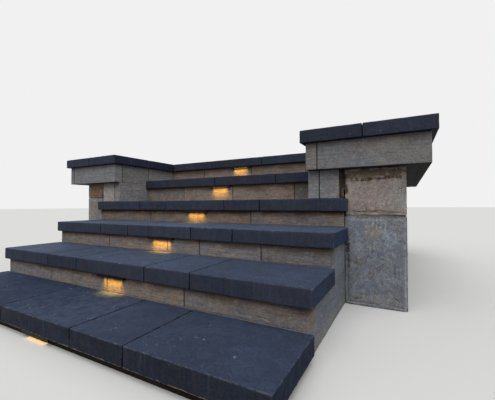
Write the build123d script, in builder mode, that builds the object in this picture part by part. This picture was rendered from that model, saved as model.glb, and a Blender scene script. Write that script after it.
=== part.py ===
from build123d import *
import os

# Front steps of a house, built of concrete units: five treads of dark coping slabs on low block
# risers, climbing between two pedestals to a landing. Each tread slab oversails its riser and the
# side wall by the same small nosing, and a slim light bar hides under every nosing.
# Frame: origin on the ground at the middle of the plan, X along the treads (to the right as one
# climbs), Y towards the house, Z up. All sizes in mm.

# Coping slabs
coping_thk = 75
nosing = 22
joint = 3
arris = 4

# Flight
going = 352
slab_depth = going + nosing
tread_4_going = 319
bed_height = 30
low_riser_height = 90
high_riser_height = 125
block_depth = 100
block_arris = 2
tread_width = 2196
flight_x = -21

# Plan
porch_depth = 3290
pedestal_reach = 414
cap_width = 692
cap_depth = 380
cap_lead = 56

# Pedestals: a band of thin panels set back under the cap and standing out beyond the stone below
band_setback = 28
band_height = 157
panel_thk = 75
inner_panel_thk = 66
outer_panel_thk = 50
pier_setback = 29
block_gap = 27
right_pier_inset = 138
left_pier_inset = 203
stone_thk = 100
stone_boss = 8
stone_margin = 16
boss_taper = 50
closer_setback = 14
right_pier_beds = (0.0, 0.655, 1.0)
left_pier_beds = (0.0, 0.43, 0.83, 1.0)

# Step lights
light_width = 206
light_depth = 20
light_height = 12
lens_width = 140
lens_depth = 9
lens_height = 3
lens_lip = 3

# Side walls of the flight
base_course = 50
bed_joint = 1
wall_thk = 100

# Tread tops from the ground to the landing, and the lines of the nosings
level_1 = bed_height + coping_thk
level_2 = level_1 + low_riser_height + coping_thk
level_3 = level_2 + low_riser_height + coping_thk
level_4 = level_3 + low_riser_height + coping_thk
level_5 = level_4 + high_riser_height + coping_thk
level_6 = level_5 + high_riser_height + coping_thk
front = -porch_depth / 2
back = porch_depth / 2
nose_1 = front
nose_2 = nose_1 + going
nose_3 = nose_2 + going
nose_4 = nose_3 + going
nose_5 = nose_4 + tread_4_going
nose_6 = nose_5 + going
field_front = nose_6 + slab_depth

# Widths that follow from these
tread_low = flight_x - tread_width / 2
tread_high = flight_x + tread_width / 2
wall_low = tread_low + nosing
wall_high = tread_high - nosing
core_low = wall_low + wall_thk
core_high = wall_high - wall_thk
cap_outer = tread_width / 2 + pedestal_reach
cap_inner = cap_outer - cap_width
cap_front = nose_4 - cap_lead
cheek_front = nose_4 + nosing
pier_front = nose_4 + pier_setback
cheek_joint = nose_4 + going
right_pier_outer = cap_outer - right_pier_inset
left_pier_outer = left_pier_inset - cap_outer
right_block_outer = wall_high - block_gap
left_block_outer = wall_low + block_gap
band_inner = cap_inner + band_setback
band_outer = cap_outer - band_setback
cheek_back = band_inner + inner_panel_thk
band_front = cap_front + band_setback
band_top = level_6 - coping_thk
band_base = band_top - band_height
panel_back = band_front + panel_thk
column_width = cap_width / 2
cap_middle = cap_outer - column_width

# Slab joints along each tread and block joints along each riser, as shares of the row's length
tread_1_joints = (0.216, 0.377, 0.622, 0.756)
tread_2_joints = (0.245, 0.377, 0.624, 0.751)
tread_3_joints = (0.247, 0.376, 0.623, 0.753)
tread_4_joints = (0.248, 0.376, 0.625, 0.75)
tread_5_joints = (0.159, 0.473, 0.799)
landing_joints = (0.303, 0.637)
riser_2_joints = (0.24, 0.488, 0.734)
riser_3_joints = (0.275, 0.533, 0.648, 0.834)
riser_4_joints = (0.291, 0.509, 0.721)
riser_5_joints = (0.269, 0.572, 0.883)
riser_6_joints = (0.249, 0.566, 0.871)


def spans(low, high, joints):
    # clear lengths between the joints of a row that runs from low to high
    edges = [low - joint / 2] + [low + share * (high - low) for share in joints] + [high + joint / 2]
    return [(a + joint / 2, b - a - joint) for a, b in zip(edges, edges[1:])]


def save(piece, name):
    piece.label = name
    export_step(piece, "parts/" + name + ".step")


os.makedirs("parts", exist_ok=True)
low_corner = (Align.MIN, Align.MIN)

# Coping rows: treads one to three span the whole flight, tread five runs between the pedestals
# and the landing edge between their caps; every row ends at the face of the next riser
coping_rows = (
    ("tread_1", tread_low, tread_high, tread_1_joints, nose_1, level_1),
    ("tread_2", tread_low, tread_high, tread_2_joints, nose_2, level_2),
    ("tread_3", tread_low, tread_high, tread_3_joints, nose_3, level_3),
    ("tread_5", -band_inner, band_inner, tread_5_joints, nose_5, level_5),
    ("landing_edge", joint - cap_inner, cap_inner - joint, landing_joints, nose_6, level_6),
)
for name, low, high, joints, nose, level in coping_rows:
    with BuildPart() as row:
        with BuildSketch(Plane.XY.offset(level - coping_thk)):
            for start, length in spans(low, high, joints):
                with Locations((start, nose)):
                    Rectangle(length, slab_depth, align=low_corner)
        extrude(amount=coping_thk)
        chamfer(row.edges().group_by(Axis.Z)[-1], length=arris)
    save(row.part, name)

# Tread four: shallower than the others, for it runs between the pedestals; the end slabs are
# notched round the inner corners of the stone piers
with BuildPart() as tread_4:
    with BuildSketch(Plane.XY.offset(level_4 - coping_thk)):
        for start, length in spans(tread_low, tread_high, tread_4_joints):
            with Locations((start, nose_4)):
                Rectangle(length, tread_4_going + nosing, align=low_corner)
        with Locations((tread_low, nose_5 + nosing), (tread_high, nose_5 + nosing)):
            Rectangle(2 * nosing, 2 * (nose_5 + nosing - pier_front), mode=Mode.SUBTRACT)
    extrude(amount=coping_thk)
    chamfer(tread_4.edges().group_by(Axis.Z)[-1], length=arris)
save(tread_4.part, "tread_4")

# Risers: rows of low blocks, their front uprights eased so that each joint reads as a fine line
riser_rows = (
    ("riser_2", wall_low, wall_high, riser_2_joints, nose_2, level_1, low_riser_height),
    ("riser_3", wall_low, wall_high, riser_3_joints, nose_3, level_2, low_riser_height),
    ("riser_4", wall_low, wall_high, riser_4_joints, nose_4, level_3, low_riser_height),
    ("riser_5", -band_inner, band_inner, riser_5_joints, nose_5, level_4, high_riser_height),
    ("riser_6", -band_inner, band_inner, riser_6_joints, nose_6, level_5, high_riser_height),
)
for name, low, high, joints, nose, level, height in riser_rows:
    face = nose + nosing
    with BuildPart() as riser:
        with BuildSketch(Plane.XY.offset(level)):
            for start, length in spans(low, high, joints):
                with Locations((start, face)):
                    Rectangle(length, block_depth, align=low_corner)
        extrude(amount=height)
        uprights = riser.edges().filter_by(Axis.Z).filter_by_position(Axis.Y, face - 1, face + 1)
        chamfer(uprights, length=block_arris)
    save(riser.part, name)

# Bed of the first tread, on the line of the side walls
with BuildPart() as step_bed:
    with BuildSketch():
        with Locations((wall_low, nose_1 + nosing)):
            Rectangle(wall_high - wall_low, going, align=low_corner)
    extrude(amount=bed_height)
save(step_bed.part, "step_bed")

# Core of the flight: one stepped block that carries the slabs and the backs of the risers, full
# width behind the side walls
with BuildPart() as flight_core:
    with BuildSketch(Plane.YZ.offset(core_low)):
        with BuildLine():
            Polyline(
                (nose_2 + nosing, 0),
                (nose_2 + nosing, level_1),
                (nose_2 + nosing + block_depth, level_1),
                (nose_2 + nosing + block_depth, level_2 - coping_thk),
                (nose_3 + nosing, level_2 - coping_thk),
                (nose_3 + nosing, level_2),
                (nose_3 + nosing + block_depth, level_2),
                (nose_3 + nosing + block_depth, level_3 - coping_thk),
                (nose_4 + nosing, level_3 - coping_thk),
                (nose_4 + nosing, level_3),
                (nose_4 + nosing + block_depth, level_3),
                (nose_4 + nosing + block_depth, level_4 - coping_thk),
                (nose_5 + nosing, level_4 - coping_thk),
                (nose_5 + nosing, 0),
                close=True,
            )
        make_face()
    extrude(amount=core_high - core_low)
    with BuildSketch(Plane.YZ.offset(wall_low)):
        with BuildLine():
            Polyline(
                (pier_front, 0),
                (pier_front, level_3),
                (nose_4 + nosing + block_depth, level_3),
                (nose_4 + nosing + block_depth, level_4 - coping_thk),
                (nose_5 + nosing, level_4 - coping_thk),
                (nose_5 + nosing, 0),
                close=True,
            )
        make_face()
    extrude(amount=wall_high - wall_low)
save(flight_core.part, "flight_core")

# Side walls of the flight: a low base course, then taller courses cut round the riser ends
face_2 = nose_2 + nosing
face_3 = nose_3 + nosing
for name, wall_x in (("left_side_wall", wall_low), ("right_side_wall", core_high)):
    with BuildPart() as side_wall:
        with BuildSketch(Plane.YZ.offset(wall_x)):
            with BuildLine():
                Polyline(
                    (face_2, 0),
                    (face_2, base_course - bed_joint),
                    (pier_front, base_course - bed_joint),
                    (pier_front, 0),
                    close=True,
                )
            make_face()
            with BuildLine():
                Polyline(
                    (face_2, base_course),
                    (face_2, level_1),
                    (face_2 + block_depth, level_1),
                    (face_2 + block_depth, level_2 - coping_thk),
                    (pier_front, level_2 - coping_thk),
                    (pier_front, base_course),
                    close=True,
                )
            make_face()
            with BuildLine():
                Polyline(
                    (face_3, level_2 - coping_thk + bed_joint),
                    (face_3, level_2),
                    (face_3 + block_depth, level_2),
                    (face_3 + block_depth, level_3 - coping_thk),
                    (pier_front, level_3 - coping_thk),
                    (pier_front, level_2 - coping_thk + bed_joint),
                    close=True,
                )
            make_face()
        extrude(amount=wall_thk)
    save(side_wall.part, name)

# Core of the porch: fill under the floor slab, stepped down to carry the last two treads
left_fill = left_pier_outer + stone_thk
right_fill = right_pier_outer - stone_thk
with BuildPart() as porch_core:
    with BuildSketch():
        with Locations((left_fill, nose_5 + nosing)):
            Rectangle(right_fill - left_fill, back - nose_5 - nosing, align=low_corner)
        with Locations((left_fill, pier_front + stone_thk)):
            Rectangle(tread_low + nosing - left_fill - bed_joint, going, align=low_corner)
        with Locations((wall_high + bed_joint, pier_front + stone_thk)):
            Rectangle(right_fill - wall_high - bed_joint, going, align=low_corner)
    extrude(amount=level_4)
    with BuildSketch(Plane.XY.offset(level_4)):
        with Locations((left_fill, nose_5 + nosing)):
            Rectangle(right_fill - left_fill, back - nose_5 - nosing, align=low_corner)
        with Locations((left_fill, pier_front + stone_thk)):
            Rectangle(wall_low - left_fill - bed_joint, going, align=low_corner)
        with Locations((wall_high + bed_joint, pier_front + stone_thk)):
            Rectangle(right_fill - wall_high - bed_joint, going, align=low_corner)
        with Locations((-cheek_back, nose_5 + nosing)):
            Rectangle(
                2 * cheek_back,
                nose_6 + block_depth - nose_5,
                align=low_corner,
                mode=Mode.SUBTRACT,
            )
    extrude(amount=band_base - level_4)
    with BuildSketch(Plane.XY.offset(level_4)):
        with Locations((-band_inner, nose_5 + nosing + block_depth)):
            Rectangle(2 * band_inner, going, align=low_corner)
    extrude(amount=level_5 - coping_thk - level_4)
    with BuildSketch(Plane.XY.offset(level_5 - coping_thk)):
        with Locations((-band_inner, nose_6 + nosing)):
            Rectangle(2 * band_inner, block_depth, align=low_corner)
    extrude(amount=coping_thk)
save(porch_core.part, "porch_core")

# Floor slab of the porch: a cantilevered plate behind the bands, open where the flight comes up
with BuildPart() as porch_slab:
    with BuildSketch(Plane.XY.offset(band_base)):
        slab_edge = band_outer - outer_panel_thk
        with Locations((-slab_edge, panel_back)):
            Rectangle(2 * slab_edge, back - panel_back, align=low_corner)
        with Locations((-cheek_back, panel_back)):
            Rectangle(
                2 * cheek_back,
                nose_6 + nosing + block_depth - panel_back,
                align=low_corner,
                mode=Mode.SUBTRACT,
            )
    extrude(amount=band_height)
save(porch_slab.part, "porch_slab")

# Cheeks: the panels that close the sides of the last two steps, and the block at their front,
# standing on tread four below the band
cheeks = (
    ("left_cheek", -cheek_back, left_block_outer, -cheek_back - joint),
    ("right_cheek", band_inner, cheek_back + joint, right_block_outer),
)
for name, panel_x, block_low, block_high in cheeks:
    with BuildPart() as cheek:
        with BuildSketch(Plane.XY.offset(level_4)):
            with Locations((panel_x, cheek_front)):
                Rectangle(inner_panel_thk, cheek_joint - cheek_front - joint, align=low_corner)
            with Locations((panel_x, cheek_joint)):
                Rectangle(inner_panel_thk, nose_6 + nosing + block_depth - cheek_joint, align=low_corner)
            with Locations((block_low, cheek_front)):
                Rectangle(block_high - block_low, nose_5 + nosing - cheek_front, align=low_corner)
        extrude(amount=band_base - level_4)
        uprights = cheek.edges().filter_by(Axis.Z)
        chamfer(uprights.filter_by_position(Axis.Y, cheek_front - 1, cheek_front + 1), length=block_arris)
    save(cheek.part, name)

# Bands: front panel, outer panels running back to the house and inner panels to the landing.
# Each front panel starts behind the end of the panel on its left.
panel_end = nose_6 + nosing + block_depth
outer_joint = band_front + 0.55 * (back - band_front)
with BuildPart() as right_band:
    with BuildSketch(Plane.XY.offset(band_base)):
        with Locations((band_inner, band_front)):
            Rectangle(inner_panel_thk, cheek_joint - band_front - joint, align=low_corner)
        with Locations((band_inner, cheek_joint)):
            Rectangle(inner_panel_thk, panel_end - cheek_joint, align=low_corner)
        with Locations((cheek_back + joint, band_front)):
            Rectangle(band_outer - cheek_back - joint, panel_thk, align=low_corner)
        with Locations((band_outer - outer_panel_thk, panel_back + joint)):
            Rectangle(outer_panel_thk, outer_joint - panel_back - 2 * joint, align=low_corner)
        with Locations((band_outer - outer_panel_thk, outer_joint)):
            Rectangle(outer_panel_thk, back - outer_joint, align=low_corner)
    extrude(amount=band_height)
    uprights = right_band.edges().filter_by(Axis.Z)
    chamfer(uprights.filter_by_position(Axis.Y, band_front - 1, band_front + 1), length=block_arris)
save(right_band.part, "right_band")

with BuildPart() as left_band:
    with BuildSketch(Plane.XY.offset(band_base)):
        with Locations((-band_outer, band_front)):
            Rectangle(outer_panel_thk, outer_joint - band_front - joint, align=low_corner)
        with Locations((-band_outer, outer_joint)):
            Rectangle(outer_panel_thk, back - outer_joint, align=low_corner)
        with Locations((-band_outer + outer_panel_thk + joint, band_front)):
            Rectangle(band_outer - outer_panel_thk - joint - band_inner, panel_thk, align=low_corner)
        with Locations((-cheek_back, panel_back + joint)):
            Rectangle(inner_panel_thk, cheek_joint - panel_back - 2 * joint, align=low_corner)
        with Locations((-cheek_back, cheek_joint)):
            Rectangle(inner_panel_thk, panel_end - cheek_joint, align=low_corner)
    extrude(amount=band_height)
    uprights = left_band.edges().filter_by(Axis.Z)
    chamfer(uprights.filter_by_position(Axis.Y, band_front - 1, band_front + 1), length=block_arris)
save(left_band.part, "left_band")

# Piers: rock-faced stones, each with a boss standing out from a margin dressed back along its
# joints, and a narrow closer set back beside the return block
piers = (
    ("left_pier", left_pier_outer, wall_low - bed_joint, left_pier_beds, wall_low),
    ("right_pier", wall_high + bed_joint, right_pier_outer, right_pier_beds, right_block_outer),
)
for name, low, high, beds, closer_low in piers:
    stones = [(a * band_base, b * band_base - (joint if b < 1 else 0)) for a, b in zip(beds, beds[1:])]
    with BuildPart() as pier:
        with BuildSketch(Plane.XZ.offset(-pier_front - stone_boss)):
            for base, top in stones:
                with Locations((low, base)):
                    Rectangle(high - low, top - base, align=low_corner)
        extrude(amount=stone_boss - stone_thk)
        with BuildSketch(Plane.XZ.offset(-pier_front - stone_boss)):
            for base, top in stones:
                with Locations((low + stone_margin, base + stone_margin)):
                    Rectangle(high - low - 2 * stone_margin, top - base - 2 * stone_margin, align=low_corner)
        extrude(amount=stone_boss, taper=boss_taper)
        with BuildSketch(Plane.XY.offset(level_4)):
            with Locations((closer_low, pier_front + closer_setback)):
                Rectangle(block_gap, stone_thk - closer_setback, align=low_corner)
        extrude(amount=band_base - level_4)
    save(pier.part, name)

# Stone side walls of the porch behind the piers: three courses of the same rock-faced stone, the
# upright joints broken from course to course
wall_start = pier_front + stone_thk + joint
wall_run = back - wall_start
wall_courses = (
    (0.0, 0.34, (0.0, 0.27, 0.58, 0.80, 1.0)),
    (0.34, 0.67, (0.0, 0.19, 0.45, 0.72, 1.0)),
    (0.67, 1.0, (0.0, 0.31, 0.52, 0.83, 1.0)),
)
wall_stones = []
for bed, bed_above, cuts in wall_courses:
    height = (bed_above - bed) * band_base - (joint if bed_above < 1 else 0)
    for a, b in zip(cuts, cuts[1:]):
        length = (b - a) * wall_run - (joint if b < 1 else 0)
        wall_stones.append((wall_start + a * wall_run, bed * band_base, length, height))
porch_walls = (
    ("left_porch_wall", left_pier_outer + stone_boss, -1),
    ("right_porch_wall", right_pier_outer - stone_boss, 1),
)
for name, face_x, outward in porch_walls:
    with BuildPart() as porch_wall:
        with BuildSketch(Plane.YZ.offset(face_x)):
            for start, base, length, height in wall_stones:
                with Locations((start, base)):
                    Rectangle(length, height, align=low_corner)
        extrude(amount=-outward * (stone_thk - stone_boss))
        with BuildSketch(Plane.YZ.offset(face_x)):
            for start, base, length, height in wall_stones:
                with Locations((start + stone_margin, base + stone_margin)):
                    Rectangle(length - 2 * stone_margin, height - 2 * stone_margin, align=low_corner)
        extrude(amount=outward * stone_boss, taper=boss_taper)
    save(porch_wall.part, name)

# Pedestal caps: two coping slabs across each front, meeting on the middle line of the pedestal
caps = (("left_cap", -cap_outer), ("right_cap", cap_inner))
for name, cap_x in caps:
    with BuildPart() as cap:
        with BuildSketch(Plane.XY.offset(band_top)):
            with Locations((cap_x, cap_front), (cap_x + column_width + joint / 2, cap_front)):
                Rectangle(column_width - joint / 2, cap_depth, align=low_corner)
        extrude(amount=coping_thk)
        chamfer(cap.edges().group_by(Axis.Z)[-1], length=arris)
    save(cap.part, name)

# Side copings: the slabs behind each cap, two wide beside the flight, one wide along the landing
cap_rear = cap_front + cap_depth + joint
inner_break = nose_6 - joint
outer_slab = (back - field_front - 2 * joint) / 3
sides = (
    ("left_side_coping", -cap_outer, -cap_middle + joint / 2),
    ("right_side_coping", cap_middle + joint / 2, cap_inner),
)
for name, outer_x, inner_x in sides:
    with BuildPart() as side_coping:
        with BuildSketch(Plane.XY.offset(band_top)):
            with Locations((outer_x, cap_rear), (inner_x, cap_rear)):
                Rectangle(column_width - joint / 2, inner_break - cap_rear, align=low_corner)
            with Locations((outer_x, nose_6), (inner_x, nose_6)):
                Rectangle(column_width - joint / 2, slab_depth - joint, align=low_corner)
            for n in range(3):
                with Locations((outer_x, field_front + n * (outer_slab + joint))):
                    Rectangle(column_width - joint / 2, outer_slab, align=low_corner)
        extrude(amount=coping_thk)
        chamfer(side_coping.edges().group_by(Axis.Z)[-1], length=arris)
    save(side_coping.part, name)

# Landing field: paving slabs in three rows with broken joints
field_low = -cap_middle + joint / 2
field_width = 2 * cap_middle - joint
field_gap = joint
row_starts = ((0.0, 0.22, 0.48, 0.74, 1.0), (0.0, 0.34, 0.60, 0.86, 1.0), (0.0, 0.22, 0.48, 0.74, 1.0))
with BuildPart() as landing_paving:
    with BuildSketch(Plane.XY.offset(band_top)):
        for n, cuts in enumerate(row_starts):
            row_y = field_front + joint + n * (outer_slab + joint)
            row_depth = min(outer_slab, back - row_y)
            for a, b in zip(cuts, cuts[1:]):
                with Locations((field_low + a * field_width, row_y)):
                    Rectangle((b - a) * field_width - field_gap, row_depth, align=low_corner)
    extrude(amount=coping_thk)
    chamfer(landing_paving.edges().group_by(Axis.Z)[-1], length=block_arris)
save(landing_paving.part, "landing_paving")

# Step lights: a slim bar under each nosing on the porch's middle line, its lens let in flush
# along the underside, close to the riser
light_feet = (
    (nose_1, bed_height - light_height),
    (nose_2, level_2 - coping_thk - light_height),
    (nose_3, level_3 - coping_thk - light_height),
    (nose_4, level_4 - coping_thk - light_height),
    (nose_5, level_5 - coping_thk - light_height),
    (nose_6, band_top - light_height),
)
bar_reach = nosing - light_depth / 2
lens_reach = nosing - lens_lip - lens_depth / 2
with BuildPart() as light_bars:
    for nose, foot in light_feet:
        with BuildSketch(Plane.XY.offset(foot)):
            with Locations((0, nose + bar_reach)):
                Rectangle(light_width, light_depth)
        extrude(amount=light_height)
        with BuildSketch(Plane.XY.offset(foot)):
            with Locations((0, nose + lens_reach)):
                Rectangle(lens_width, lens_depth)
        extrude(amount=lens_height, mode=Mode.SUBTRACT)
save(light_bars.part, "light_bars")

with BuildPart() as light_lenses:
    for nose, foot in light_feet:
        with BuildSketch(Plane.XY.offset(foot)):
            with Locations((0, nose + lens_reach)):
                Rectangle(lens_width, lens_depth)
        extrude(amount=lens_height)
save(light_lenses.part, "light_lenses")
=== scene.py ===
import math

import bpy
import numpy as np
from mathutils import Matrix, Vector, noise


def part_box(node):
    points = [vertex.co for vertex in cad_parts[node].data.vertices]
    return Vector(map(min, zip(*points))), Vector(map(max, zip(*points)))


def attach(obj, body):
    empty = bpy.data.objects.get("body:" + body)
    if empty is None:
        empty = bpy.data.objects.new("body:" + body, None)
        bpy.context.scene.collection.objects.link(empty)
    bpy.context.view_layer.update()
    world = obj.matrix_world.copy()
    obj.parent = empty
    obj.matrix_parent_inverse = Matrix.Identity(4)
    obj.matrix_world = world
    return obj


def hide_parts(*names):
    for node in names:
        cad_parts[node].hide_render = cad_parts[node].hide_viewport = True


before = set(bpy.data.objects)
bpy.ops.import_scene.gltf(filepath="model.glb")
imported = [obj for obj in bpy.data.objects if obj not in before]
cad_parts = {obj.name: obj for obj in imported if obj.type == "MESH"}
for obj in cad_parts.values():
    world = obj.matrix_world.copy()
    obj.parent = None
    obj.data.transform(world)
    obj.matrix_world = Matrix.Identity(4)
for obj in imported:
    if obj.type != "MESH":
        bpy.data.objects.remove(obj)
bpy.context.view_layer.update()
bpy.context.scene.view_settings.view_transform = "Standard"
MM = 0.001


# Camera: eye, lens and angles (in radians) worked out from the photograph's edges
EYE = (1.362, -2.2975, 0.564)
YAW, PITCH, ROLL = 0.4938, 0.0168, -0.0040
SENSOR_WIDTH, LENS = 36, 21.24


def add_camera():
    ahead = math.cos(PITCH)
    forward = Vector((-math.sin(YAW) * ahead, math.cos(YAW) * ahead, math.sin(PITCH)))
    level = Vector((math.cos(YAW), math.sin(YAW), 0))
    above = level.cross(forward)
    right = level * math.cos(ROLL) + above * math.sin(ROLL)
    up = above * math.cos(ROLL) - level * math.sin(ROLL)
    data = bpy.data.cameras.new("camera")
    data.sensor_width = SENSOR_WIDTH
    data.sensor_fit = "HORIZONTAL"
    data.lens = LENS
    data.clip_start = 0.02
    data.clip_end = 200
    camera = bpy.data.objects.new("camera", data)
    bpy.context.scene.collection.objects.link(camera)
    turn = Matrix((right, up, -forward)).transposed().to_4x4()
    camera.matrix_world = Matrix.Translation(EYE) @ turn
    bpy.context.scene.camera = camera


add_camera()


# Mesh of the masonry: every solid of a CAD node is laid again on a fine grid with rounded, worn arrises
SAME_POINT = 0.05 * MM  # vertices nearer than this are one
NEAR_CORNER = 6 * MM  # an eased corner has its vertices within this of the box's corner
WIDEST_JOINT = 5 * MM
MID_ARRIS = 0.586  # where the middle of a rounded arris starts, in radii from the edge
WEAR_REACH = 12 * MM
SEAM_REACH = 3.5 * MM
MARGIN, SLOPE, BOSS = 16 * MM, 9.5 * MM, 8 * MM  # of a rock-faced stone


def solids(node):
    """The separate solids of a CAD node, each as its vertices, sorted by height, depth and side."""
    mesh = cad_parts[node].data
    points = np.array([v.co for v in mesh.vertices], float)
    _, same = np.unique(np.round(points / SAME_POINT).astype(int), axis=0, return_inverse=True)
    same = same.ravel()
    root = list(range(same.max() + 1))

    def find(a):
        while root[a] != a:
            root[a] = root[root[a]]
            a = root[a]
        return a

    for polygon in mesh.polygons:
        first = find(same[polygon.vertices[0]])
        for v in polygon.vertices[1:]:
            root[find(same[v])] = first
    group = np.array([find(a) for a in same])
    found = [points[group == g] for g in np.unique(group)]
    return sorted(found, key=lambda p: (round(p[:, 2].min(), 3), round(p[:, 1].min(), 3), p[:, 0].min()))


def boxes_of(points, plane):
    """Largest boxes that make up a solid whose outline in a plane may lack one corner."""
    low, high = points.min(0), points.max(0)
    if plane is None:
        return [(low, high)]
    a, b = plane
    inside_low, inside_high = low + 2 * NEAR_CORNER, high - 2 * NEAR_CORNER
    inside = [(points[:, n] > inside_low[n]) & (points[:, n] < inside_high[n]) for n in plane]
    inner = points[inside[0] & inside[1]]
    if not len(inner):
        return [(low, high)]
    notch = inner.mean(0)
    boxes = []
    for side_a in (low[a], high[a]):
        for side_b in (low[b], high[b]):
            off_a, off_b = abs(points[:, a] - side_a), abs(points[:, b] - side_b)
            if np.any((off_a < NEAR_CORNER) & (off_b < NEAR_CORNER)):
                continue
            for axis, side in ((a, side_a), (b, side_b)):
                box_low, box_high = low.copy(), high.copy()
                if side == low[axis]:
                    box_low[axis] = notch[axis]
                else:
                    box_high[axis] = notch[axis]
                boxes.append((box_low, box_high))
    return boxes


def grid_lines(stops, radius, step, margins):
    """Grid lines along one axis: the stops, lines for the arris and the margins at each, then even steps."""
    low, high = min(stops), max(stops)
    lines = set()
    for stop in stops:
        for offset in (0, MID_ARRIS * radius, radius, 3 * radius, *margins):
            lines.update(x for x in (stop - offset, stop + offset) if low <= x <= high)
    kept = []
    for x in sorted(lines):
        if not kept or x - kept[-1] > 0.25 * radius:
            kept.append(x)
    kept[-1] = high
    out = []
    for a, b in zip(kept, kept[1:]):
        count = max(1, math.ceil((b - a) / step - 0.01))
        out += [a + (b - a) * n / count for n in range(count)]
    return np.array(out + [high])


def shell(boxes, radius, step, margins=()):
    """Quads over the outside of a union of boxes."""
    stops = [sorted({float(corner[a]) for box in boxes for corner in box}) for a in range(3)]
    grid = [grid_lines(stops[a], radius, step, margins) for a in range(3)]
    mids = [(g[1:] + g[:-1]) / 2 for g in grid]
    solid = np.zeros([len(m) for m in mids], bool)
    for low, high in boxes:
        x, y, z = ((m > low[a]) & (m < high[a]) for a, m in enumerate(mids))
        solid |= x[:, None, None] & y[None, :, None] & z[None, None, :]
    padded = np.pad(solid, 1)
    quads = []
    for axis in range(3):
        along = np.eye(3, dtype=int)[(axis + 1) % 3]
        across = np.eye(3, dtype=int)[(axis + 2) % 3]
        for side in (0, 1):
            beyond = np.roll(padded, 1 - 2 * side, axis)[1:-1, 1:-1, 1:-1]
            cell = np.argwhere(solid & ~beyond)
            cell[:, axis] += side
            ring = [cell, cell + along, cell + along + across, cell + across]
            quads.append(np.stack(ring if side else ring[::-1], 1))
    quads = np.concatenate(quads)
    keys, index = np.unique(quads.reshape(-1, 3), axis=0, return_inverse=True)
    points = np.stack([grid[a][keys[:, a]] for a in range(3)], 1)
    return points, index.reshape(-1, 4)


def inset_point(points, boxes, radius):
    """Nearest point of the solid shrunk by the radius, and how far away it is."""
    best, distance = None, None
    for low, high in boxes:
        middle = (low + high) / 2
        q = np.clip(points, np.minimum(low + radius, middle), np.maximum(high - radius, middle))
        d = np.linalg.norm(points - q, axis=1)
        if best is None:
            best, distance = q, d
        else:
            best[d < distance] = q[d < distance]
            distance = np.minimum(d, distance)
    return best, distance


def fbm(points, scale, octaves=3, shift=(0, 0, 0)):
    """Fractal noise of about -1 to 1 at each point. The scale may differ along the three axes."""
    at = points * np.array(scale) + np.array(shift)
    return np.array([noise.fractal(Vector(p), 0.9, 2.0, octaves) for p in at])


def ramp(value, low, high):
    t = np.clip((value - low) / (high - low), 0, 1)
    return t * t * (3 - 2 * t)


def dress_margin(points, low, high, axis, side):
    """A rock-faced stone's outer strip stands back along its joints, and the middle stays proud as a boss.
    A stone on the ground keeps its rough foot."""
    across = [a for a in range(3) if a != axis]
    if min(high[a] - low[a] for a in across) < 4 * MARGIN:
        return points
    sides = [high[a] - points[:, a] for a in across]
    sides += [points[:, a] - low[a] for a in across if low[a] > 2 * MM or a < 2]
    reach = np.min(sides, 0)
    back = BOSS * (1 - ramp(reach + 2.5 * MM * fbm(points, 24, 2), MARGIN, MARGIN + SLOPE))
    points = points.copy()
    if side < 0:
        points[:, axis] = np.maximum(points[:, axis], low[axis] + back)
    else:
        points[:, axis] = np.minimum(points[:, axis], high[axis] - back)
    return points


def joint_seam(points, low, high, row):
    """1 along the ends of a solid that face another solid of the row, and 0 beyond the seam's reach."""
    seam = np.zeros(len(points))
    for other in row:
        for axis in (0, 1):
            for own, facing in ((high, other.min(0)), (low, other.max(0))):
                if abs(own[axis] - facing[axis]) < WIDEST_JOINT:
                    away = abs(points[:, axis] - own[axis])
                    seam = np.maximum(seam, ramp(away, SEAM_REACH, 0.2 * SEAM_REACH))
    return seam


def lay(node, material, radius, step, relief, seed, hues=None, plane=None, face=None, tone=0.0):
    """One piece that stands for a CAD node: its solids on a fine grid, rounded, worn and tinted one by one.
    The plane is the one in which a solid may lack a corner, and the face is the axis and side that is
    rock-faced. The hues go round the solids, and the tone makes the whole row lighter or darker."""
    rng = np.random.default_rng(seed)
    all_points, all_quads = [], []
    fields = {name: [] for name in ("tint", "hue", "edge", "chip", "rise", "seam")}
    count = 0
    row = solids(node)
    for number, cad in enumerate(row):
        boxes = boxes_of(cad, plane)
        points, quads = shell(boxes, radius, step, (MARGIN, MARGIN + SLOPE) if face else ())
        low, high = points.min(0), points.max(0)
        q, distance = inset_point(points, boxes, radius)
        normal = (points - q) / distance[:, None]
        _, far = inset_point(points, boxes, WEAR_REACH)
        edge = np.clip((far / WEAR_REACH - 1) / (math.sqrt(2) - 1), 0, 1)
        points = q + normal * radius
        depth, chip = relief(points, edge, low, high, rng)
        points = points - normal * np.maximum(depth, 0)[:, None]
        if face:
            points = dress_margin(points, low, high, *face)
        tint, hue = rng.uniform(-1, 1) + tone, rng.uniform(0, 1)
        if hues:
            hue = hues[number % len(hues)]
        size = len(points)
        fields["tint"].append(np.full(size, tint))
        fields["hue"].append(np.full(size, hue))
        fields["edge"].append(edge)
        fields["chip"].append(chip)
        fields["rise"].append((points[:, 2] - low[2]) / (high[2] - low[2]))
        fields["seam"].append(joint_seam(points, low, high, row))
        all_points.append(points)
        all_quads.append(quads + count)
        count += size
    points, quads = np.concatenate(all_points), np.concatenate(all_quads)
    mesh = bpy.data.meshes.new(node + "_laid")
    mesh.from_pydata(points.tolist(), [], quads.tolist())
    for name, parts in fields.items():
        values = np.concatenate(parts).astype(np.float32)
        mesh.attributes.new(name, "FLOAT", "POINT").data.foreach_set("value", values)
    mesh.polygons.foreach_set("use_smooth", [True] * len(quads))
    mesh.materials.append(material)
    piece = bpy.data.objects.new(node + "_laid", mesh)
    bpy.context.scene.collection.objects.link(piece)
    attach(piece, "root")
    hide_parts(node)


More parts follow.
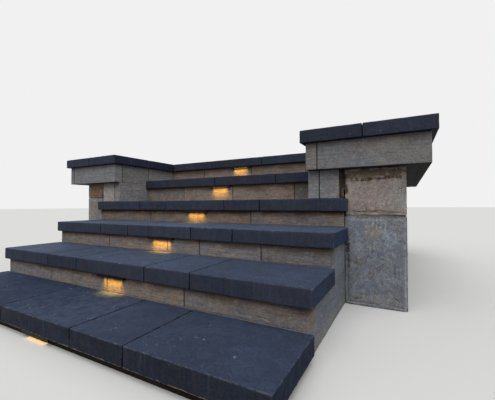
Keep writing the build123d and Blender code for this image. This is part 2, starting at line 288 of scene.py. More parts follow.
# Reliefs: how deep the surface lies below the ideal block, and where it is freshly chipped
def pressed(points, edge, low, high, rng):
    """Pressed concrete: nearly flat faces, arrises rubbed unevenly and a nick here and there."""
    rub = ramp(fbm(points, 40, 2, rng.uniform(-9, 9, 3)), -0.1, 0.6)
    depth = 0.25 * MM * (1 + fbm(points, 9, 2)) + edge * rub * 1.1 * MM
    chip = np.zeros(len(points))
    span = high - low
    for _ in range(rng.integers(1, 4)):
        along = rng.integers(0, 2)
        at = low + span * rng.uniform(0, 1, 3)
        at[2] = high[2]
        if along:
            at[1] = low[1]
        else:
            at[0] = (low if rng.uniform() < 0.5 else high)[0]
        size = rng.uniform(4, 9) * MM
        reach = np.linalg.norm((points - at) * (0.6, 0.6, 1.3), axis=1)
        hit = ramp(reach, size, 0.35 * size) * ramp(edge, 0.05, 0.6)
        depth += hit * size * 0.22
        chip = np.maximum(chip, hit)
    return depth, chip


def sawn(points, edge, low, high, rng):
    """Split-cut wall block: faintly uneven faces and eased arrises."""
    shift = rng.uniform(-9, 9, 3)
    depth = 0.35 * MM * (1 + fbm(points, (14, 14, 40), 3, shift))
    rub = ramp(fbm(points, 55, 2, shift), -0.2, 0.5)
    return depth + edge * rub * 1.0 * MM, edge * ramp(rub, 0.75, 1.0) * 0.6


def rock(points, edge, low, high, rng):
    """Rock face: hollows and ridges, broken layers just above the bed and bruised arrises."""
    shift = rng.uniform(-9, 9, 3)
    broad = 1 + fbm(points, 7, 4, shift)
    fine = 1 + fbm(points, 42, 4, shift)
    layer = ramp(fbm(points, (5, 5, 75), 3, shift), 0.0, 0.4)
    layer = layer * ramp(points[:, 2] - low[2], 36 * MM, 12 * MM)
    bruise = edge * ramp(fbm(points, 30, 2, shift), -0.2, 0.6)
    depth = 2.0 * MM * broad + 0.9 * MM * fine + 2.6 * MM * layer + 2.4 * MM * bruise
    return depth, np.maximum(bruise * ramp(fine, 0.9, 1.4), 0)


# Materials
def rgb(r, g, b):
    """An sRGB colour of 0 to 255 as linear values."""
    shares = (r / 255, g / 255, b / 255)
    linear = tuple(v / 12.92 if v <= 0.04045 else ((v + 0.055) / 1.055) ** 2.4 for v in shares)
    return linear + (1.0,)


class Shader:
    """A material's node tree, with short calls for the nodes that it uses."""

    def __init__(self, name):
        self.mat = bpy.data.materials.new(name)
        self.mat.use_nodes = True
        self.tree = self.mat.node_tree
        self.bsdf = self.tree.nodes["Principled BSDF"]
        self.coord = self.new("ShaderNodeTexCoord").outputs["Object"]
        self.facing = self.new("ShaderNodeNewGeometry").outputs["Normal"]

    def new(self, kind):
        return self.tree.nodes.new(kind)

    def put(self, socket, value):
        if isinstance(value, bpy.types.NodeSocket):
            self.tree.links.new(value, socket)
        else:
            socket.default_value = value

    def field(self, name):
        node = self.new("ShaderNodeAttribute")
        node.attribute_name = name
        return node.outputs["Fac"]

    def axis(self, name, vector=None):
        node = self.new("ShaderNodeSeparateXYZ")
        self.put(node.inputs[0], vector or self.coord)
        return node.outputs[name]

    def at(self, scale, shift=(0, 0, 0), turn=None):
        """Object coordinates, turned, then stretched and moved."""
        vector = self.coord
        if turn:
            node = self.new("ShaderNodeMapping")
            node.inputs["Rotation"].default_value = turn
            self.put(node.inputs["Vector"], vector)
            vector = node.outputs["Vector"]
        node = self.new("ShaderNodeMapping")
        node.inputs["Scale"].default_value = scale
        node.inputs["Location"].default_value = shift
        self.put(node.inputs["Vector"], vector)
        return node.outputs["Vector"]

    def noise(self, scale, detail=4.0, rough=0.55, vector=None, warp=0.0):
        node = self.new("ShaderNodeTexNoise")
        node.inputs["Scale"].default_value = scale
        node.inputs["Detail"].default_value = detail
        node.inputs["Roughness"].default_value = rough
        node.inputs["Distortion"].default_value = warp
        self.put(node.inputs["Vector"], vector or self.coord)
        return node.outputs["Fac"]

    def cells(self, scale, vector=None):
        """Distance to the nearest of many scattered points."""
        node = self.new("ShaderNodeTexVoronoi")
        node.inputs["Scale"].default_value = scale
        self.put(node.inputs["Vector"], vector or self.coord)
        return node.outputs["Distance"]

    def remap(self, value, a, b, c=0.0, d=1.0):
        """The value's range a to b made c to d, with soft ends and held beyond them."""
        node = self.new("ShaderNodeMapRange")
        node.interpolation_type = "SMOOTHSTEP"
        for socket, number in (("From Min", a), ("From Max", b), ("To Min", c), ("To Max", d)):
            node.inputs[socket].default_value = number
        self.put(node.inputs["Value"], value)
        return node.outputs["Result"]

    def calc(self, kind, a, b=0.0):
        node = self.new("ShaderNodeMath")
        node.operation = kind
        self.put(node.inputs[0], a)
        self.put(node.inputs[1], b)
        return node.outputs[0]

    def times(self, *values):
        total = values[0]
        for value in values[1:]:
            total = self.calc("MULTIPLY", total, value)
        return total

    def mix(self, amount, a, b, blend="MIX"):
        node = self.new("ShaderNodeMix")
        node.data_type = "RGBA"
        node.blend_type = blend
        self.put(node.inputs[0], amount)
        self.put(node.inputs[6], a)
        self.put(node.inputs[7], b)
        return node.outputs[2]

    def shade(self, colour, value, low, high, weight_low, weight_high):
        """Colour times a grey that runs over a range of the value."""
        return self.mix(1.0, colour, self.remap(value, low, high, weight_low, weight_high), "MULTIPLY")

    def grit(self, colour, value, amount):
        """Colour made darker and lighter by an amount over the usual spread of a noise."""
        return self.shade(colour, value, 0.37, 0.63, 1 - amount, 1 + amount)

    def underside_shade(self, colour, weight):
        """Painted shade: faces that look down are darker."""
        return self.shade(colour, self.axis("Z", self.facing), -0.8, -0.4, weight, 1.0)

    def spot(self, centre, size, ragged=0.6):
        """A ragged patch round a point, 1 in the middle and 0 outside. Size is its reach along each axis."""
        vector = self.at(tuple(1 / s for s in size), tuple(-c / s for c, s in zip(centre, size)))
        length = self.new("ShaderNodeVectorMath")
        length.operation = "LENGTH"
        self.put(length.inputs[0], vector)
        rough = self.remap(self.noise(34, 4), 0.3, 0.7, -ragged, ragged)
        return self.remap(self.calc("ADD", length.outputs["Value"], rough), 0.45, 1.15, 1.0, 0.0)

    def crack(self, start, end, width):
        """A thin wavering line between two points (x, z) of a front face, 1 along its middle."""
        length = math.dist(start, end)
        dx, dz = (end[0] - start[0]) / length, (end[1] - start[1]) / length
        x = self.calc("SUBTRACT", self.axis("X"), start[0])
        z = self.calc("SUBTRACT", self.axis("Z"), start[1])
        along = self.calc("ADD", self.times(x, dx), self.times(z, dz))
        off = self.calc("SUBTRACT", self.times(x, dz), self.times(z, dx))
        off = self.calc("ADD", off, self.remap(self.noise(22, 3), 0.3, 0.7, -2.5 * width, 2.5 * width))
        line = self.remap(self.calc("ABSOLUTE", off), width, 0.3 * width)
        ends = self.times(self.remap(along, 0, 0.2 * length), self.remap(along, length, 0.8 * length))
        return self.times(line, ends)

    def bump(self, height, strength, distance, under=None):
        node = self.new("ShaderNodeBump")
        node.inputs["Strength"].default_value = strength
        node.inputs["Distance"].default_value = distance
        self.put(node.inputs["Height"], height)
        if under:
            self.put(node.inputs["Normal"], under)
        return node.outputs["Normal"]

    def done(self, colour, roughness, normal, specular):
        self.put(self.bsdf.inputs["Base Color"], colour)
        self.put(self.bsdf.inputs["Roughness"], roughness)
        self.put(self.bsdf.inputs["Normal"], normal)
        self.bsdf.inputs["Specular IOR Level"].default_value = specular
        return self.mat


def coping_material():
    """Slate-blue pressed concrete: dusty and scuffed on top, darker and faintly streaked down its faces.
    Tops turn lighter toward a grazing view, a painted sheen over the dust.
    A hue of 1 marks the lowest row, whose faces carry darker painted shade and have a line of dirt along
    their foot."""
    s = Shader("coping_concrete")
    tint, hue, edge, chip, rise = (s.field(n) for n in ("tint", "hue", "edge", "chip", "rise"))
    upward = s.remap(s.axis("Z", s.facing), 0.5, 0.85)
    sideways = s.calc("SUBTRACT", 1.0, upward)
    endways = s.remap(s.calc("ABSOLUTE", s.axis("X", s.facing)), 0.5, 0.9)
    # Painted shade: ends darker and bluer than the fronts, the lowest row's fronts and ends darker still, and
    # the ends on the left side darker and greyer
    colour = s.mix(endways, rgb(59, 64, 78), rgb(47, 57, 80))
    colour = s.mix(s.times(hue, sideways, 0.55), colour, rgb(27, 30, 38))
    colour = s.mix(s.times(hue, endways, 0.35), colour, rgb(20, 32, 54))
    colour = s.mix(s.times(endways, s.remap(s.axis("X"), -0.5, -0.7), 0.6), colour, rgb(42, 40, 44))
    colour = s.mix(upward, colour, rgb(53, 61, 80))
    # Painted sheen over the dust: tops turn lighter and bluer toward a grazing view
    weight = s.new("ShaderNodeLayerWeight")
    weight.inputs["Blend"].default_value = 0.5
    dust_and_sheen = s.times(upward, s.remap(weight.outputs["Facing"], 0.5, 1.0), 0.34)
    colour = s.mix(dust_and_sheen, colour, rgb(94, 106, 130))
    # Painted shade: a darker patch over the left end of the lowest row's top
    left_end_shade = s.times(upward, s.spot((-0.62, -1.47, 0.105), (0.80, 0.44, 0.1), 0.3))
    colour = s.mix(s.times(left_end_shade, 0.65), colour, rgb(38, 48, 70))
    colour = s.shade(colour, tint, -3, 3, 0.84, 1.16)
    colour = s.grit(colour, s.noise(2.6, 3), 0.07)
    colour = s.grit(colour, s.noise(17, 6, 0.65), 0.08)
    fine = s.noise(120, 3, 0.75)
    colour = s.grit(colour, fine, 0.13)
    grain = s.noise(420, 3, 0.7)
    colour = s.grit(colour, grain, 0.16)
    streak = s.noise(1.0, 4, 0.6, s.at((85, 85, 6)))
    colour = s.mix(s.times(sideways, s.remap(streak, 0.54, 0.72), 0.26), colour, rgb(88, 90, 104))
    colour = s.mix(s.times(sideways, s.remap(streak, 0.46, 0.28), 0.24), colour, rgb(28, 29, 38))
    cloud = s.noise(1.0, 3, 0.5, s.at((20, 20, 26), (2, 5, 1)))
    colour = s.mix(s.times(sideways, s.remap(cloud, 0.52, 0.66), 0.18), colour, rgb(74, 68, 76))
    colour = s.mix(s.times(sideways, s.remap(cloud, 0.48, 0.34), 0.24), colour, rgb(48, 62, 88))
    patch = s.remap(s.noise(3.1, 2, 0.5, s.at((1, 1, 1), (4, 7, 0))), 0.48, 0.62)
    scuff = s.noise(1.0, 3, 0.6, s.at((16, 90, 30), turn=(0, 0, 0.5)), 0.5)
    colour = s.mix(s.times(upward, patch, s.remap(scuff, 0.63, 0.71), 0.50), colour, rgb(128, 131, 140))
    rub = s.noise(1.0, 3, 0.6, s.at((70, 13, 30), turn=(0, 0, -0.3)), 0.8)
    colour = s.mix(s.times(upward, patch, s.remap(rub, 0.65, 0.73), 0.40), colour, rgb(132, 134, 142))
    speck = s.remap(s.cells(30), 0.12, 0.06)
    rare = s.remap(s.noise(21, 1), 0.59, 0.65)
    colour = s.mix(s.times(speck, rare, s.remap(upward, 0, 1, 0.3, 0.8)), colour, rgb(160, 162, 164))
    flake = s.remap(s.cells(8, s.at((1, 1, 1), (3, 1, 0))), 0.07, 0.035)
    flake = s.times(flake, s.remap(s.noise(150, 3, 0.7), 0.45, 0.52))
    seldom = s.remap(s.noise(3.3, 1), 0.52, 0.56)
    colour = s.mix(s.times(upward, flake, seldom, 0.7), colour, rgb(170, 170, 168))
    wear = s.times(s.remap(edge, 0.35, 0.95), s.remap(s.noise(30, 4, 0.7), 0.42, 0.60))
    colour = s.mix(s.times(wear, 0.42), colour, rgb(104, 106, 114))
    colour = s.mix(s.times(chip, 0.6), colour, rgb(112, 110, 108))
    ragged = s.calc("ADD", rise, s.remap(s.noise(60, 3), 0.3, 0.7, -0.03, 0.03))
    foot = s.times(hue, sideways, s.remap(ragged, 0.085, 0.05))
    colour = s.mix(s.times(foot, 0.75), colour, rgb(156, 140, 124))
    colour = s.mix(s.times(s.field("seam"), 0.65), colour, rgb(14, 14, 18))
    # Painted shade on faces that look down
    colour = s.underside_shade(colour, 0.45)
    normal = s.bump(grain, 0.4, 0.0006)
    normal = s.bump(fine, 0.35, 0.0016, normal)
    return s.done(colour, s.remap(s.noise(24, 4), 0.3, 0.7, 0.62, 0.78), normal, 0.05)


def block_material(name, grey, tan, stain_and_shade, stain_and_shade_weight, streaks=0.13, fleck=0.35, long=1.0, patchy=1.0):
    """Wall block: warm and cool patches mixed, brushed level streaks, pits, and a brown stain with painted
    shade towards each block's top, below the nosing.
    The fine grain runs along the block, less so where long is above 1. Patchy scales the small patches."""
    s = Shader(name)
    tint, hue, edge, chip, rise = (s.field(n) for n in ("tint", "hue", "edge", "chip", "rise"))
    cloud = s.remap(s.noise(7, 3, 0.5), 0.32, 0.68, -0.30, 0.30)
    blush = s.noise(30, 4, 0.65, s.at((1, 1, 2.2), (6, 2, 9)))
    blush = s.remap(blush, 0.38, 0.62, -0.20 * patchy, 0.20 * patchy)
    colour = s.mix(s.calc("ADD", s.calc("ADD", hue, cloud), blush), grey, tan)
    flush = s.noise(1.0, 2, 0.5, s.at((8, 8, 30), (8, 3, 4)), 0.5)
    colour = s.mix(s.times(s.remap(flush, 0.50, 0.64), 0.22 * patchy), colour, rgb(154, 134, 120))
    colour = s.mix(s.times(s.remap(flush, 0.50, 0.36), 0.20 * patchy), colour, rgb(108, 119, 136))
    colour = s.shade(colour, tint, -1, 1, 0.90, 1.10)
    streak = s.noise(1.0, 4, 0.65, s.at((9, 9, 130)))
    colour = s.grit(colour, streak, streaks)
    mottle = s.noise(26, 6, 0.72)
    colour = s.grit(colour, mottle, 0.10)
    fine = s.noise(1.0, 5, 0.78, s.at((55 * long, 55 * long, 130)))
    colour = s.grit(colour, fine, 0.20)
    grain = s.noise(300, 4, 0.7)
    colour = s.grit(colour, grain, 0.14)
    # Brown stain and painted shade: each block darker and browner toward its top, below the nosing or coping
    drift = s.remap(s.noise(1.0, 4, 0.6, s.at((7, 7, 22))), 0.3, 0.7, -0.14, 0.14)
    colour = s.mix(s.times(s.remap(s.calc("ADD", rise, drift), 0.45, 0.98), stain_and_shade_weight), colour, stain_and_shade)
    pit = s.times(s.remap(s.cells(110), 0.24, 0.10), s.remap(s.noise(40, 2), 0.52, 0.62))
    colour = s.mix(s.times(pit, 0.6), colour, rgb(54, 50, 48))
    pale = s.remap(s.noise(1.0, 5, 0.75, s.at((30, 30, 52), (5, 1, 3))), 0.56, 0.68)
    colour = s.mix(s.times(pale, s.remap(rise, 0.95, 0.6), fleck), colour, rgb(184, 180, 174))
    colour = s.mix(s.times(s.remap(edge, 0.5, 1.0), 0.16), colour, rgb(160, 156, 150))
    colour = s.mix(s.times(chip, 0.4), colour, rgb(176, 168, 158))
    colour = s.mix(s.times(s.field("seam"), 0.5), colour, rgb(34, 30, 28))
    # Painted shade on faces that look down
    colour = s.underside_shade(colour, 0.20)
    normal = s.bump(grain, 0.4, 0.0008)
    normal = s.bump(streak, 0.3, 0.0010, normal)
    normal = s.bump(s.calc("SUBTRACT", fine, pit), 0.5, 0.0022, normal)
    return s.done(colour, s.remap(mottle, 0.3, 0.7, 0.80, 0.92), normal, 0.10)


def stone_material(name, cool, warm, rust, dark, spots=(), cracks=()):
    """Rock-faced limestone, cool or warm by stone: cloudy tones, tool marks, iron stains, pits, and its own
    marks. Spots are (centre, size, colour, weight). Cracks are (start, end, width) on a front face."""
    s = Shader(name)
    tint, hue, edge, chip = (s.field(n) for n in ("tint", "hue", "edge", "chip"))
    colour = s.mix(hue, cool, warm)
    colour = s.grit(colour, s.noise(9, 5, 0.6, warp=0.6), 0.11)
    colour = s.shade(colour, tint, -1, 1, 0.94, 1.06)
    blush = s.noise(16, 5, 0.65, s.at((1, 1, 1.4), (2, 8, 3)), 0.6)
    colour = s.mix(s.times(s.remap(blush, 0.52, 0.66), 0.34), colour, rgb(164, 160, 152))
    colour = s.mix(s.times(s.remap(blush, 0.48, 0.34), 0.26), colour, rgb(118, 128, 144))
    iron = s.remap(s.noise(7, 5, 0.6, s.at((1, 1, 1.6), (3, 1, 5)), 0.8), 0.56, 0.70)
    colour = s.mix(s.times(iron, 0.16), colour, rust)
    for centre, size, spot, amount in spots:
        colour = s.mix(s.times(s.spot(centre, size), amount), colour, spot)
    tool = s.noise(1.0, 3, 0.6, s.at((16, 16, 120), turn=(0, 0.6, 0)), 0.4)
    worked = s.remap(s.noise(6, 3, 0.6, s.at((1, 1, 1), (7, 7, 1))), 0.46, 0.60)
    colour = s.mix(s.times(worked, s.remap(tool, 0.56, 0.68), 0.35), colour, rgb(176, 182, 188))
    colour = s.mix(s.times(worked, s.remap(tool, 0.44, 0.32), 0.35), colour, dark)
    ridge = s.noise(1.0, 4, 0.65, s.at((95, 95, 17), (1, 2, 3), (0, -0.22, 0)), 0.6)
    ridged = s.remap(s.noise(7, 3, 0.6, s.at((1, 1, 0.8), (5, 2, 6))), 0.44, 0.58)
    colour = s.mix(s.times(ridged, s.remap(ridge, 0.55, 0.66), 0.48), colour, rgb(178, 182, 182))
    colour = s.mix(s.times(ridged, s.remap(ridge, 0.45, 0.34), 0.36), colour, dark)
    mottle = s.noise(55, 5, 0.75)
    colour = s.grit(colour, mottle, 0.15)
    fine = s.noise(120, 5, 0.78)
    colour = s.grit(colour, fine, 0.16)
    grain = s.noise(380, 3, 0.7)
    colour = s.grit(colour, grain, 0.14)
    pit = s.times(s.remap(s.cells(72), 0.28, 0.10), s.remap(s.noise(19, 3), 0.52, 0.62))
    colour = s.mix(s.times(pit, 0.65), colour, dark)
    scab = s.times(s.remap(s.noise(36, 5, 0.75, warp=0.4), 0.58, 0.68), s.remap(s.noise(5, 2), 0.45, 0.58))
    colour = s.mix(s.times(scab, 0.6), colour, dark)
    fleck = s.times(s.remap(s.noise(80, 4, 0.7, s.at((1, 1, 1), (9, 4, 2))), 0.60, 0.68), 0.55)
    colour = s.mix(fleck, colour, rgb(196, 196, 194))
    for start, end, width in cracks:
        colour = s.mix(s.times(s.crack(start, end, width), 0.8), colour, dark)
    wear = s.times(s.remap(edge, 0.45, 0.9), s.remap(s.noise(40, 3), 0.36, 0.56))
    colour = s.mix(s.times(wear, 0.40), colour, rgb(188, 190, 192))
    colour = s.mix(s.times(chip, 0.25), colour, rgb(190, 182, 172))
    # Painted shade on faces that look down
    colour = s.underside_shade(colour, 0.3)
    normal = s.bump(mottle, 0.5, 0.0045)
    normal = s.bump(s.calc("SUBTRACT", fine, pit), 0.5, 0.0026, normal)
    normal = s.bump(tool, 0.3, 0.0016, normal)
    normal = s.bump(s.times(ridged, ridge), 0.4, 0.0022, normal)
    return s.done(colour, s.remap(fine, 0.3, 0.7, 0.84, 0.96), normal, 0.08)


def concrete_material(name="poured_concrete", dark=rgb(122, 121, 118), light=rgb(142, 140, 135)):
    """Poured concrete of the cores and the floor plate: blotchy, with air holes and board marks."""
    s = Shader(name)
    colour = s.mix(s.remap(s.noise(3.2, 5, 0.6), 0.35, 0.65), dark, light)
    colour = s.shade(colour, s.noise(1.0, 3, 0.6, s.at((2, 2, 28))), 0.3, 0.7, 0.92, 1.08)
    grain = s.noise(260, 4, 0.7)
    colour = s.grit(colour, grain, 0.12)
    colour = s.grit(colour, s.noise(45, 5, 0.7), 0.10)
    hole = s.times(s.remap(s.cells(38), 0.16, 0.09), s.remap(s.noise(13, 2), 0.54, 0.62))
    colour = s.mix(s.times(hole, 0.6), colour, rgb(70, 68, 66))
    # Painted shade on faces that look down
    colour = s.underside_shade(colour, 0.18)
    normal = s.bump(s.calc("SUBTRACT", grain, hole), 0.4, 0.0012)
    return s.done(colour, s.remap(s.noise(17, 4), 0.3, 0.7, 0.82, 0.94), normal, 0.15)


def bar_material():
    """Black powder-coated metal with a fine orange-peel texture."""
    s = Shader("light_bar_coat")
    peel = s.noise(900, 2)
    colour = s.shade(rgb(8, 8, 9), s.noise(60, 4), 0.3, 0.7, 0.8, 1.25)
    return s.done(colour, s.remap(peel, 0.3, 0.7, 0.42, 0.55), s.bump(peel, 0.3, 0.0002), 0.2)


def lens_material():
    """Frosted warm lens, lit from inside and a little brighter at each diode."""
    s = Shader("light_lens_glow")
    diode = s.remap(s.cells(110), 0.1, 0.6, 1.15, 0.85)
    glow = s.mix(1.0, (1.0, 0.58, 0.17, 1.0), diode, "MULTIPLY")
    s.put(s.bsdf.inputs["Emission Color"], glow)
    s.bsdf.inputs["Emission Strength"].default_value = 1.0
    grain = s.noise(700, 2)
    return s.done(rgb(250, 220, 170), s.remap(grain, 0.3, 0.7, 0.4, 0.6), s.bump(grain, 0.2, 0.0002), 0.4)


coping = coping_material()
brown = rgb(86, 65, 46)
riser_block = block_material("riser_block", rgb(124, 123, 125), rgb(154, 139, 126), brown, 0.70)
# Riser 4: a heavier brown stain and painted shade below the nosing
heavy_stain_shade_block = block_material("riser_block_heavy_stain_shade", rgb(116, 111, 109), rgb(143, 125, 109), rgb(76, 57, 40), 0.95)
warm_block = block_material("riser_block_warm", rgb(122, 115, 110), rgb(150, 134, 120), brown, 0.70)
wall_block = block_material(
    "wall_block", rgb(126, 134, 147), rgb(136, 138, 140), rgb(96, 92, 90), 0.20, 0.10, 0.55, long=1.6
)
band_block = block_material(
    "band_block", rgb(124, 127, 131), rgb(134, 129, 122), rgb(104, 94, 82), 0.25, 0.12, 0.45, 1.5, patchy=0.45
)
cheek_block, left_cheek_block, left_band_block = (
    block_material(name, grey, tan, rgb(112, 104, 96), 0.20, 0.15, 0.45, long=1.3)
    for name, grey, tan in (
        ("cheek_block", rgb(142, 144, 149), rgb(156, 149, 140)),
        ("left_cheek_block", rgb(136, 135, 137), rgb(173, 165, 158)),
        ("left_band_block", rgb(137, 135, 133), rgb(147, 148, 152)),
    )
)
concrete = concrete_material()
mortar = concrete_material("mortar", rgb(112, 104, 94), rgb(144, 136, 124))
pointing = concrete_material("pointing", rgb(136, 122, 108), rgb(156, 140, 124))
# Painted shade: the bed under the lowest tread is made nearly black, as if in shadow
bed = concrete_material("step_bed_painted_shade", rgb(26, 24, 23), rgb(38, 35, 33))
rust, pit_dark = rgb(150, 132, 108), rgb(62, 57, 56)


def mark(x, z, wide, high, colour, weight, y=-0.56):
    """A mark on a pier's front, mostly stains and in places painted shade: its middle, how far it reaches to
    each side, its colour and its weight.
    """
    return (x, y, z), (wide, 0.1, high), colour, weight


right_stone = stone_material(
    "right_pier_stone",
    rgb(134, 139, 147),
    rgb(168, 155, 149),
    rust,
    pit_dark,
    spots=(
        # Brown stain with painted shade under the band along the top of the upper stone
        mark(1.19, 0.735, 0.22, 0.036, rgb(112, 94, 70), 0.75),
        mark(1.26, 0.706, 0.13, 0.010, rgb(84, 68, 50), 0.80),
        mark(1.11, 0.698, 0.07, 0.004, rgb(84, 66, 54), 0.75),
        # Painted shade: dark brown down the recess between the return block and the pier
        mark(1.0415, 0.68, 0.030, 0.22, rgb(72, 56, 46), 0.95, y=-0.54),
        mark(1.362, 0.26, 0.005, 0.34, rgb(180, 186, 188), 0.60),
        mark(1.22, 0.035, 0.16, 0.030, rgb(164, 160, 154), 0.50),
        mark(1.19, 0.60, 0.08, 0.06, rgb(172, 155, 150), 0.50),
        mark(1.338, 0.60, 0.035, 0.08, rgb(166, 168, 166), 0.60),
        mark(1.087, 0.61, 0.013, 0.06, rgb(176, 170, 154), 0.60),
        # Brown stain with painted shade on the upper stone's left edge beside that recess
        mark(1.058, 0.66, 0.018, 0.06, rgb(88, 70, 60), 0.85, y=-0.55),
        mark(1.20, 0.487, 0.14, 0.010, rgb(132, 126, 120), 0.50),
        mark(1.217, 0.41, 0.050, 0.045, rgb(162, 152, 138), 0.60),
        mark(1.285, 0.38, 0.040, 0.040, rgb(156, 170, 184), 0.60),
        mark(1.234, 0.298, 0.050, 0.010, rgb(104, 116, 148), 0.70),
        mark(1.121, 0.378, 0.025, 0.035, rgb(148, 160, 172), 0.60),
        mark(1.070, 0.33, 0.014, 0.05, rgb(58, 52, 54), 0.85),
        mark(1.075, 0.25, 0.012, 0.04, rgb(66, 58, 58), 0.75),
        mark(1.241, 0.219, 0.030, 0.022, rgb(132, 124, 140), 0.60),
        mark(1.128, 0.232, 0.028, 0.034, rgb(124, 114, 104), 0.60),
        mark(1.196, 0.175, 0.020, 0.022, rgb(112, 112, 104), 0.60),
        mark(1.182, 0.116, 0.053, 0.024, rgb(112, 126, 148), 0.60),
        mark(1.300, 0.075, 0.044, 0.030, rgb(148, 146, 144), 0.50),
        mark(1.329, 0.449, 0.015, 0.028, rgb(136, 124, 112), 0.50),
        mark(1.205, 0.432, 0.004, 0.042, rgb(184, 178, 164), 0.60),
        mark(1.226, 0.442, 0.004, 0.046, rgb(182, 180, 170), 0.60),
        mark(1.247, 0.446, 0.004, 0.044, rgb(178, 184, 184), 0.55),
        mark(1.268, 0.440, 0.004, 0.038, rgb(176, 186, 192), 0.50),
        mark(1.312, 0.215, 0.004, 0.055, rgb(92, 94, 100), 0.55),
        mark(1.330, 0.205, 0.004, 0.050, rgb(92, 94, 100), 0.50),
    ),
    cracks=(
        ((1.29, 0.088), (1.346, 0.034), 2.2 * MM),
        ((1.07, 0.531), (1.30, 0.527), 2.8 * MM),
        ((1.13, 0.509), (1.31, 0.505), 2.0 * MM),
    ),
)
left_stone = stone_material(
    "left_pier_stone",
    rgb(152, 150, 148),
    rgb(150, 132, 112),
    rust,
    pit_dark,
    spots=(
        mark(-1.20, 0.695, 0.085, 0.055, rgb(142, 104, 72), 0.55),
        mark(-1.10, 0.735, 0.075, 0.030, rgb(146, 116, 86), 0.50),
    ),
)
wall_stone = stone_material("porch_wall_stone", rgb(136, 137, 140), rgb(162, 153, 144), rust, pit_dark)

# Sizes and sides for laying the nodes
COPING_ARRIS, CAP_ARRIS, BLOCK_ARRIS, STONE_ARRIS = 5 * MM, 4 * MM, 2.5 * MM, 3 * MM
BLOCK_GRID = 18 * MM
LEVEL, UPRIGHT = (0, 1), (1, 2)
FRONT, LEFT, RIGHT = (1, -1), (0, -1), (0, 1)

# The lower a row is, the nearer it is to the eye and the finer its grid, here in millimetres
treads = (
    ("tread_1", 8, 0.0),
    ("tread_2", 9, 0.0),
    ("tread_3", 12, 1.6),
    ("tread_4", 14, 0.0),
    ("tread_5", 16, -1.5),
    ("landing_edge", 18, -1.3),
)
for seed, (node, grid, tone) in enumerate(treads, 10):
    hues = (1.0,) if node == "tread_1" else (0.0,)
    plane = LEVEL if node == "tread_4" else None
    lay(node, coping, COPING_ARRIS, grid * MM, pressed, seed, hues, plane, tone=tone)

upper_coping = (
    ("left_cap", 16, 2.5),
    ("right_cap", 16, -1.5),
    ("left_side_coping", 26, 0.0),
    ("right_side_coping", 26, 0.0),
    ("landing_paving", 26, 0.0),
)
for seed, (node, grid, tone) in enumerate(upper_coping, 30):
    lay(node, coping, CAP_ARRIS, grid * MM, pressed, seed, (0.0,), tone=tone)

risers = (
    ("riser_2", riser_block, (0.1, 0.5, 0.9, 0.3)),
    ("riser_3", riser_block, (0.7, 0.7, 0.6, 0.3, 0.1)),
    ("riser_4", heavy_stain_shade_block, (0.9, 0.7, 0.8, 0.2)),
    ("riser_5", warm_block, (0.1, 0.8, 0.8, 0.1)),
    ("riser_6", warm_block, (0.5, 0.6, 0.6, 0.5)),
)
for seed, (node, block, hues) in enumerate(risers, 50):
    lay(node, block, BLOCK_ARRIS, BLOCK_GRID, sawn, seed, hues)

for seed, node in enumerate(("left_side_wall", "right_side_wall"), 60):
    lay(node, wall_block, BLOCK_ARRIS, BLOCK_GRID, sawn, seed, (1.0, 0.2, 0.0), UPRIGHT)

panels = (
    ("left_cheek", left_cheek_block, (1.0, 0.0, 0.0)),
    ("right_cheek", cheek_block, (0.1, 0.3, 0.2)),
    ("left_band", left_band_block, (0.5, 1.0, 0.0, 0.0, 0.5)),
    ("right_band", band_block, (0.6, 0.3, 0.4, 0.5, 0.3)),
)
for seed, (node, block, hues) in enumerate(panels, 70):
    lay(node, block, BLOCK_ARRIS, BLOCK_GRID, sawn, seed, hues)

stonework = (
    ("right_pier", right_stone, 5, (0.0, 1.0, 0.5), FRONT),
    ("left_pier", left_stone, 6, (0.0, 0.15, 0.8, 1.0), FRONT),
    ("left_porch_wall", wall_stone, 12.5, None, LEFT),
    ("right_porch_wall", wall_stone, 12.5, None, RIGHT),
)
for seed, (node, stone, grid, hues, face) in enumerate(stonework, 80):
    lay(node, stone, STONE_ARRIS, grid * MM, rock, seed, hues, face=face)

# Nodes that keep their CAD mesh
own_materials = (
    ("flight_core", concrete),
    ("porch_core", concrete),
    ("porch_slab", concrete),
    ("step_bed", bed),
    ("light_bars", bar_material()),
    ("light_lenses", lens_material()),
)
for node, material in own_materials:
    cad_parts[node].data.materials.clear()
    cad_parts[node].data.materials.append(material)


def add_sheet(name, low, high, material, uneven=0.8 * MM):
    """A thin block of mortar with an uneven face."""
    low, high = np.array(low), np.array(high)
    arris, grid = 1 * MM, 60 * MM
    points, quads = shell([(low, high)], arris, grid)
    points = points - uneven * (1 + fbm(points, 60, 2))[:, None] * np.sign(points - (low + high) / 2)
    mesh = bpy.data.meshes.new(name)
    mesh.from_pydata(points.tolist(), [], quads.tolist())
    mesh.materials.append(material)
    piece = bpy.data.objects.new(name, mesh)
    bpy.context.scene.collection.objects.link(piece)
    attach(piece, "root")


def add_mortar():
    """Mortar in the joints of the stonework, seen only where two stones meet: a sheet a little behind the
    margins of each pier and of each wall of the porch."""
    deep, clear, lap = BOSS + 1.5 * MM, 2 * MM, 5 * MM
    for side in ("left", "right"):
        stone = solids(side + "_pier")[0]
        low, high = stone.min(0), stone.max(0)
        high[2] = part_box(side + "_pier")[1][2]
        low, high = Vector(low) + Vector((deep, deep, clear)), Vector(high) - Vector((deep, 0, clear))
        add_sheet(side + "_pier_mortar", low, high, mortar)
        low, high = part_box(side + "_porch_wall")
        low, high = Vector(low) + Vector((deep, -lap, clear)), Vector(high) - Vector((deep, deep, clear))
        add_sheet(side + "_wall_mortar", low, high, mortar)


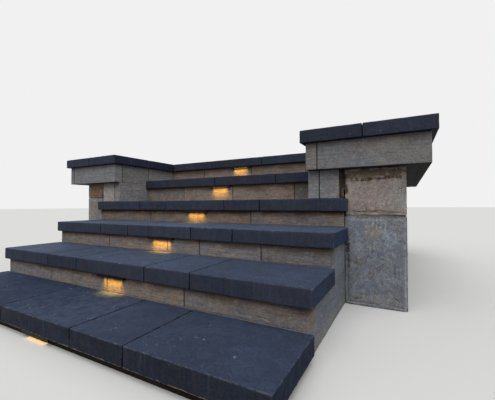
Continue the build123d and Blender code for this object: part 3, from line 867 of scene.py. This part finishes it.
def add_pointing():
    """The joint of riser 4 that lies in the step light's glow is pointed nearly flush."""
    left, right = solids("riser_4")[1:3]
    low, high = right.min(0), left.max(0)
    middle = (low[0] + high[0]) / 2
    start = Vector((middle - 3 * MM, low[1] + 0.4 * MM, low[2] + 1 * MM))
    end = Vector((middle + 3 * MM, low[1] + 20 * MM, high[2] - 1 * MM))
    add_sheet("riser_4_pointing", start, end, pointing, 0.1 * MM)


add_mortar()
add_pointing()


# Step lights: under each lens a narrow beam down the riser's foot, and a wide wash over its face
LAMPS = (
    # kind, distance ahead of the lens, watts, spread in degrees and colour
    ("beam", 0.0, 0.115, 62, (1.0, 0.46, 0.09)),
    ("wash", 8 * MM, 0.098, 105, (1.0, 0.62, 0.03)),
)
LOWEST_SHARE = 0.04  # the lowest light shines on the pale floor


def add_step_lights():
    for number, cad in enumerate(solids("light_lenses")):
        low, high = cad.min(0), cad.max(0)
        share = LOWEST_SHARE if number == 0 else 1.0
        for kind, ahead, watts, spread, colour in LAMPS:
            data = bpy.data.lights.new(f"step_light_{number + 1}_{kind}", "AREA")
            data.shape = "RECTANGLE"
            data.size, data.size_y = high[0] - low[0], high[1] - low[1]
            data.color = colour
            data.energy = watts * share
            data.spread = math.radians(spread)
            lamp = bpy.data.objects.new(data.name, data)
            lamp.location = ((low[0] + high[0]) / 2, (low[1] + high[1]) / 2 - ahead, low[2] - 0.5 * MM)
            lamp.visible_camera = False
            bpy.context.scene.collection.objects.link(lamp)


add_step_lights()


# Studio: a pale floor, an even sky and one broad soft lamp from the front right
SKY_SEEN, SKY_LIGHT = (0.88, 0.88, 0.88, 1), (0.50, 0.50, 0.50, 1)
FLOOR_SEEN, FLOOR_LIGHT = (0.74, 0.74, 0.73, 1), (0.14, 0.14, 0.14, 1)
FLOOR_REACH = 60
KEY_STRENGTH, KEY_ANGLE, KEY_FROM = 0.55 * math.pi, 70, (0.25, -0.5, 1.0)


def pale_to_eye(tree, seen, unseen):
    """Colour that is the seen one for camera, glossy and transmission rays, and the unseen one for light
    that bounces from it."""
    path = tree.nodes.new("ShaderNodeLightPath")
    total = path.outputs["Is Camera Ray"]
    for name in ("Is Glossy Ray", "Is Transmission Ray"):
        node = tree.nodes.new("ShaderNodeMath")
        node.operation = "MAXIMUM"
        tree.links.new(total, node.inputs[0])
        tree.links.new(path.outputs[name], node.inputs[1])
        total = node.outputs[0]
    mix = tree.nodes.new("ShaderNodeMix")
    mix.data_type = "RGBA"
    mix.inputs[6].default_value = unseen
    mix.inputs[7].default_value = seen
    tree.links.new(total, mix.inputs[0])
    return mix.outputs[2]


def add_studio():
    world = bpy.data.worlds.new("studio")
    bpy.context.scene.world = world
    world.use_nodes = True
    background = world.node_tree.nodes["Background"]
    colour = pale_to_eye(world.node_tree, SKY_SEEN, SKY_LIGHT)
    world.node_tree.links.new(colour, background.inputs["Color"])

    sun = bpy.data.lights.new("soft_key", "SUN")
    sun.energy = KEY_STRENGTH
    sun.angle = math.radians(KEY_ANGLE)
    lamp = bpy.data.objects.new("soft_key", sun)
    lamp.rotation_mode = "QUATERNION"
    lamp.rotation_quaternion = Vector(KEY_FROM).to_track_quat("Z", "Y")
    bpy.context.scene.collection.objects.link(lamp)

    corners = [(x * FLOOR_REACH, y * FLOOR_REACH, 0) for x, y in ((-1, -1), (1, -1), (1, 1), (-1, 1))]
    mesh = bpy.data.meshes.new("floor")
    mesh.from_pydata(corners, [], [(0, 1, 2, 3)])
    floor = bpy.data.objects.new("floor", mesh)
    bpy.context.scene.collection.objects.link(floor)
    s = Shader("studio_floor")
    colour = pale_to_eye(s.tree, FLOOR_SEEN, FLOOR_LIGHT)
    mesh.materials.append(s.done(colour, 0.95, s.bump(s.noise(40, 2), 0.02, 0.001), 0.0))


add_studio()
